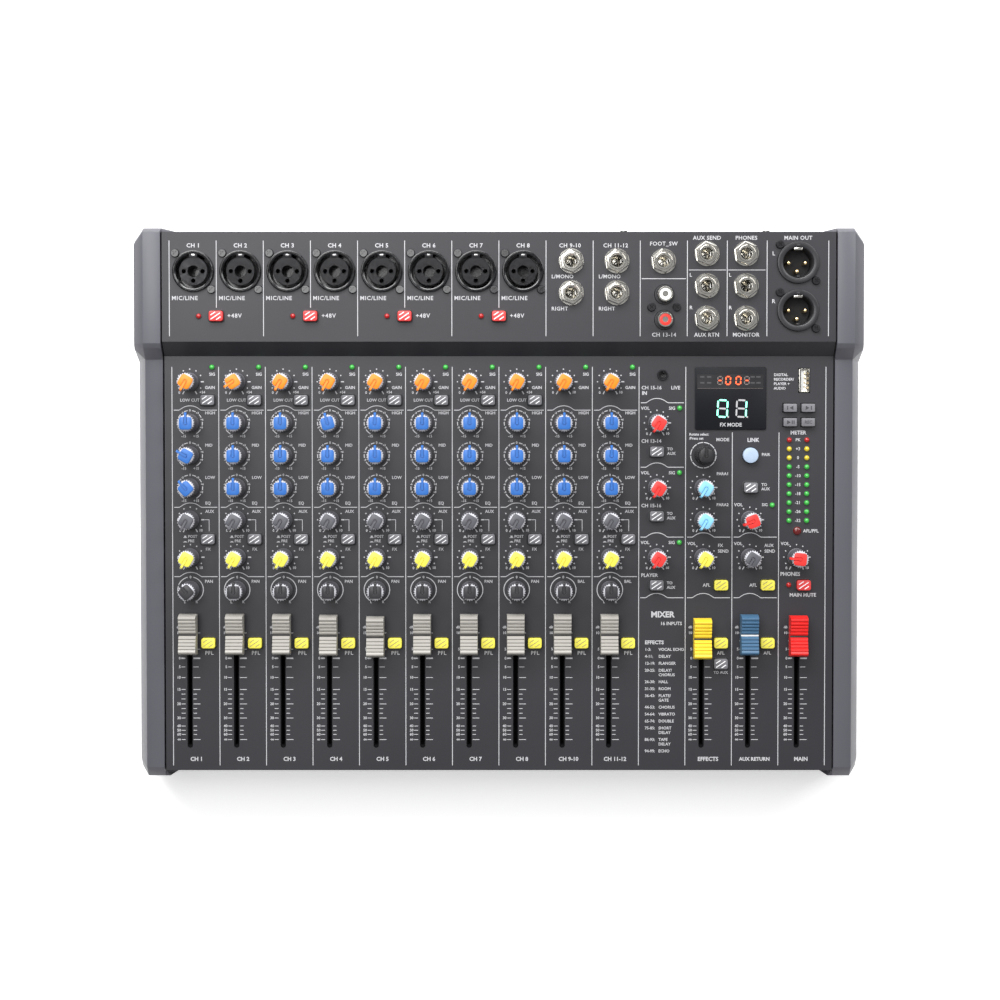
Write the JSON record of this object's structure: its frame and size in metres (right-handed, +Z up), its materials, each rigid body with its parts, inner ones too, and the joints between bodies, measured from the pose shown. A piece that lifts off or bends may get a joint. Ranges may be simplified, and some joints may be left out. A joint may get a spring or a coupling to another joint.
{
  "type": "mixing console",
  "caption": "Desk-top audio mixing console with sloped control deck, rotary knobs, slide faders, push-buttons, display and a raised connector panel.",
  "frame": {"origin": "on the surface that the feet stand on, under the middle of the bounding box", "axes": "+X to the user's right along the rows of channels, +Y away from the user towards the connector panel, +Z up"},
  "size_m": [0.4048, 0.3074, 0.0868],
  "materials": {
    "steel": "fine textured powder coat",
    "cheek": "fine moulded texture",
    "socket_black": "semi-gloss moulded",
    "chrome": "polished",
    "window": "smoked, glossy",
    "lamp": "translucent",
    "board": "solder mask",
    "component": "moulded",
    "rubber": "matt",
    "screw": "black zinc",
    "knob_dark": "fine moulded texture",
    "knob_orange": "satin",
    "knob_blue": "satin",
    "knob_grey": "satin",
    "knob_yellow": "satin",
    "knob_red": "satin",
    "knob_pale": "satin",
    "cap_beige": "satin",
    "cap_yellow": "satin",
    "cap_slate": "satin",
    "cap_red": "satin",
    "button_grey": "satin",
    "button_yellow": "satin",
    "button_red": "satin",
    "button_cream": "satin"
  },
  "bodies": {
    "case": {"top_chassis": "steel", "base_tray": "steel", "left_cheek": "cheek", "right_cheek": "cheek", "combo_sockets": "socket_black", "xlr_outputs": "socket_black", "jack_sockets": "chrome", "phono_sockets": "socket_black", "usb_socket": "chrome", "display_unit": "window", "indicator_lamps": "lamp", "circuit_boards": "board", "power_supply": "board", "pot_bodies": "component", "switch_bodies": "component", "slide_pots": "component", "mains_inlet": "socket_black", "rubber_feet": "rubber", "screws": "screw", "channel_knobs": "knob_dark"},
    "gain_knob_1": {"gain_knob_1": "knob_orange"},
    "high_knob_1": {"high_knob_1": "knob_blue"},
    "mid_knob_1": {"mid_knob_1": "knob_blue"},
    "low_knob_1": {"low_knob_1": "knob_blue"},
    "aux_knob_1": {"aux_knob_1": "knob_grey"},
    "effects_knob_1": {"effects_knob_1": "knob_yellow"},
    "pan_knob_1": {"pan_knob_1": "knob_dark"},
    "volume_13_14_knob": {"volume_13_14_knob": "knob_red"},
    "volume_15_16_knob": {"volume_15_16_knob": "knob_red"},
    "player_volume_knob": {"player_volume_knob": "knob_red"},
    "parameter_1_knob": {"parameter_1_knob": "knob_pale"},
    "parameter_2_knob": {"parameter_2_knob": "knob_pale"},
    "effects_send_knob": {"effects_send_knob": "knob_yellow"},
    "wireless_volume_knob": {"wireless_volume_knob": "knob_red"},
    "aux_send_knob": {"aux_send_knob": "knob_grey"},
    "phones_knob": {"phones_knob": "knob_red"},
    "encoder_shaft": {"encoder_shaft": "component"},
    "mode_knob": {"mode_knob": "knob_dark"},
    "fader_1": {"fader_1": "cap_beige"},
    "fader_2": {"fader_2": "cap_beige"},
    "fader_3": {"fader_3": "cap_beige"},
    "fader_4": {"fader_4": "cap_beige"},
    "fader_5": {"fader_5": "cap_beige"},
    "fader_6": {"fader_6": "cap_beige"},
    "fader_7": {"fader_7": "cap_beige"},
    "fader_8": {"fader_8": "cap_beige"},
    "fader_9_10": {"fader_9_10": "cap_beige"},
    "fader_11_12": {"fader_11_12": "cap_beige"},
    "fader_effects": {"fader_effects": "cap_yellow"},
    "fader_return": {"fader_return": "cap_slate"},
    "fader_main": {"fader_main": "cap_red"},
    "low_cut_buttons": {"low_cut_buttons": "button_grey"},
    "pre_post_buttons": {"pre_post_buttons": "button_grey"},
    "listen_buttons": {"listen_buttons": "button_yellow"},
    "phantom_buttons": {"phantom_buttons": "button_red"},
    "to_aux_buttons": {"to_aux_buttons": "button_grey"},
    "mute_button": {"mute_button": "button_red"},
    "pair_button": {"pair_button": "button_grey"},
    "transport_keys": {"transport_keys": "button_grey"},
    "power_button": {"power_button": "button_cream"}
  },
  "joints": [
    {"name": "gain_knob_1_turn", "type": "hinge", "parent": "case", "child": "gain_knob_1", "pos_m": [-0.1721, 0.06608, 0.06693], "axis": [0, -0.0872, 0.9962], "range_deg": [-300, 0]},
    {"name": "high_knob_1_turn", "type": "hinge", "parent": "case", "child": "high_knob_1", "pos_m": [-0.1721, 0.04327, 0.06493], "axis": [0, -0.0872, 0.9962], "range_deg": [-150, 150]},
    {"name": "mid_knob_1_turn", "type": "hinge", "parent": "case", "child": "mid_knob_1", "pos_m": [-0.1721, 0.02533, 0.06337], "axis": [0, -0.0872, 0.9962], "range_deg": [-210, 90]},
    {"name": "low_knob_1_turn", "type": "hinge", "parent": "case", "child": "low_knob_1", "pos_m": [-0.1721, 0.0074, 0.0618], "axis": [0, -0.0872, 0.9962], "range_deg": [-193, 107]},
    {"name": "aux_knob_1_turn", "type": "hinge", "parent": "case", "child": "aux_knob_1", "pos_m": [-0.1721, -0.01053, 0.06023], "axis": [0, -0.0872, 0.9962], "range_deg": [-300, 0]},
    {"name": "effects_knob_1_turn", "type": "hinge", "parent": "case", "child": "effects_knob_1", "pos_m": [-0.1721, -0.03135, 0.05841], "axis": [0, -0.0872, 0.9962], "range_deg": [-300, 0]},
    {"name": "pan_knob_1_turn", "type": "hinge", "parent": "case", "child": "pan_knob_1", "pos_m": [-0.1721, -0.04948, 0.05682], "axis": [0, -0.0872, 0.9962], "range_deg": [-193, 107]},
    {"name": "volume_13_14_knob_turn", "type": "hinge", "parent": "case", "child": "volume_13_14_knob", "pos_m": [0.088, 0.04327, 0.06493], "axis": [0, -0.0872, 0.9962], "range_deg": [-298, 2]},
    {"name": "volume_15_16_knob_turn", "type": "hinge", "parent": "case", "child": "volume_15_16_knob", "pos_m": [0.088, 0.0074, 0.0618], "axis": [0, -0.0872, 0.9962], "range_deg": [-298, 2]},
    {"name": "player_volume_knob_turn", "type": "hinge", "parent": "case", "child": "player_volume_knob", "pos_m": [0.088, -0.03135, 0.05841], "axis": [0, -0.0872, 0.9962], "range_deg": [-298, 2]},
    {"name": "parameter_1_knob_turn", "type": "hinge", "parent": "case", "child": "parameter_1_knob", "pos_m": [0.1139, 0.0074, 0.0618], "axis": [0, -0.0872, 0.9962], "range_deg": [-298, 2]},
    {"name": "parameter_2_knob_turn", "type": "hinge", "parent": "case", "child": "parameter_2_knob", "pos_m": [0.1139, -0.01053, 0.06023], "axis": [0, -0.0872, 0.9962], "range_deg": [-298, 2]},
    {"name": "effects_send_knob_turn", "type": "hinge", "parent": "case", "child": "effects_send_knob", "pos_m": [0.1139, -0.03135, 0.05841], "axis": [0, -0.0872, 0.9962], "range_deg": [-298, 2]},
    {"name": "wireless_volume_knob_turn", "type": "hinge", "parent": "case", "child": "wireless_volume_knob", "pos_m": [0.1398, -0.01053, 0.06023], "axis": [0, -0.0872, 0.9962], "range_deg": [-261, 39]},
    {"name": "aux_send_knob_turn", "type": "hinge", "parent": "case", "child": "aux_send_knob", "pos_m": [0.1398, -0.03135, 0.05841], "axis": [0, -0.0872, 0.9962], "range_deg": [-298, 2]},
    {"name": "phones_knob_turn", "type": "hinge", "parent": "case", "child": "phones_knob", "pos_m": [0.1658, -0.03135, 0.05841], "axis": [0, -0.0872, 0.9962], "range_deg": [-234, 66]},
    {"name": "encoder_press", "type": "slide", "parent": "case", "child": "encoder_shaft", "axis": [0, 0.0872, -0.9962], "range_m": [0, 0.0005], "stiffness_N_per_m": 300, "springref_m": -0.002},
    {"name": "mode_knob_turn", "type": "hinge", "parent": "encoder_shaft", "child": "mode_knob", "pos_m": [0.1139, 0.02533, 0.06337], "axis": [0, -0.0872, 0.9962], "continuous": true},
    {"name": "fader_1_slide", "type": "slide", "parent": "case", "child": "fader_1", "axis": [0, 0.9962, 0.0872], "range_m": [-0.0599, 0.0001]},
    {"name": "fader_2_slide", "type": "slide", "parent": "case", "child": "fader_2", "axis": [0, 0.9962, 0.0872], "range_m": [-0.0599, 0.0001]},
    {"name": "fader_3_slide", "type": "slide", "parent": "case", "child": "fader_3", "axis": [0, 0.9962, 0.0872], "range_m": [-0.0599, 0.0001]},
    {"name": "fader_4_slide", "type": "slide", "parent": "case", "child": "fader_4", "axis": [0, 0.9962, 0.0872], "range_m": [-0.0594, 0.0006]},
    {"name": "fader_5_slide", "type": "slide", "parent": "case", "child": "fader_5", "axis": [0, 0.9962, 0.0872], "range_m": [-0.0586, 0.0014]},
    {"name": "fader_6_slide", "type": "slide", "parent": "case", "child": "fader_6", "axis": [0, 0.9962, 0.0872], "range_m": [-0.0598, 0.0002]},
    {"name": "fader_7_slide", "type": "slide", "parent": "case", "child": "fader_7", "axis": [0, 0.9962, 0.0872], "range_m": [-0.0598, 0.0002]},
    {"name": "fader_8_slide", "type": "slide", "parent": "case", "child": "fader_8", "axis": [0, 0.9962, 0.0872], "range_m": [-0.0598, 0.0002]},
    {"name": "fader_9_10_slide", "type": "slide", "parent": "case", "child": "fader_9_10", "axis": [0, 0.9962, 0.0872], "range_m": [-0.0598, 0.0002]},
    {"name": "fader_11_12_slide", "type": "slide", "parent": "case", "child": "fader_11_12", "axis": [0, 0.9962, 0.0872], "range_m": [-0.0598, 0.0002]},
    {"name": "fader_effects_slide", "type": "slide", "parent": "case", "child": "fader_effects", "axis": [0, 0.9962, 0.0872], "range_m": [-0.0575, 0.0025]},
    {"name": "fader_return_slide", "type": "slide", "parent": "case", "child": "fader_return", "axis": [0, 0.9962, 0.0872], "range_m": [-0.0596, 0.0004]},
    {"name": "fader_main_slide", "type": "slide", "parent": "case", "child": "fader_main", "axis": [0, 0.9962, 0.0872], "range_m": [-0.059, 0.001]},
    {"name": "low_cut_buttons_press", "type": "slide", "parent": "case", "child": "low_cut_buttons", "axis": [0, 0.0872, -0.9962], "range_m": [0, 0.0015], "stiffness_N_per_m": 300, "springref_m": -0.002},
    {"name": "pre_post_buttons_press", "type": "slide", "parent": "case", "child": "pre_post_buttons", "axis": [0, 0.0872, -0.9962], "range_m": [0, 0.0015], "stiffness_N_per_m": 300, "springref_m": -0.002},
    {"name": "listen_buttons_press", "type": "slide", "parent": "case", "child": "listen_buttons", "axis": [0, 0.0872, -0.9962], "range_m": [0, 0.0015], "stiffness_N_per_m": 300, "springref_m": -0.002},
    {"name": "phantom_buttons_press", "type": "slide", "parent": "case", "child": "phantom_buttons", "axis": [0, 0.0872, -0.9962], "range_m": [0, 0.0015], "stiffness_N_per_m": 300, "springref_m": -0.002},
    {"name": "to_aux_buttons_press", "type": "slide", "parent": "case", "child": "to_aux_buttons", "axis": [0, 0.0872, -0.9962], "range_m": [0, 0.0015], "stiffness_N_per_m": 300, "springref_m": -0.002},
    {"name": "mute_button_press", "type": "slide", "parent": "case", "child": "mute_button", "axis": [0, 0.0872, -0.9962], "range_m": [0, 0.0015], "stiffness_N_per_m": 300, "springref_m": -0.002},
    {"name": "pair_button_press", "type": "slide", "parent": "case", "child": "pair_button", "axis": [0, 0.0872, -0.9962], "range_m": [0, 0.0015], "stiffness_N_per_m": 300, "springref_m": -0.002},
    {"name": "transport_keys_press", "type": "slide", "parent": "case", "child": "transport_keys", "axis": [0, 0.0872, -0.9962], "range_m": [0, 0.0015], "stiffness_N_per_m": 300, "springref_m": -0.002},
    {"name": "power_button_press", "type": "slide", "parent": "case", "child": "power_button", "axis": [0, -1, 0], "range_m": [0, 0.0015], "stiffness_N_per_m": 300, "springref_m": -0.002}
  ]
}
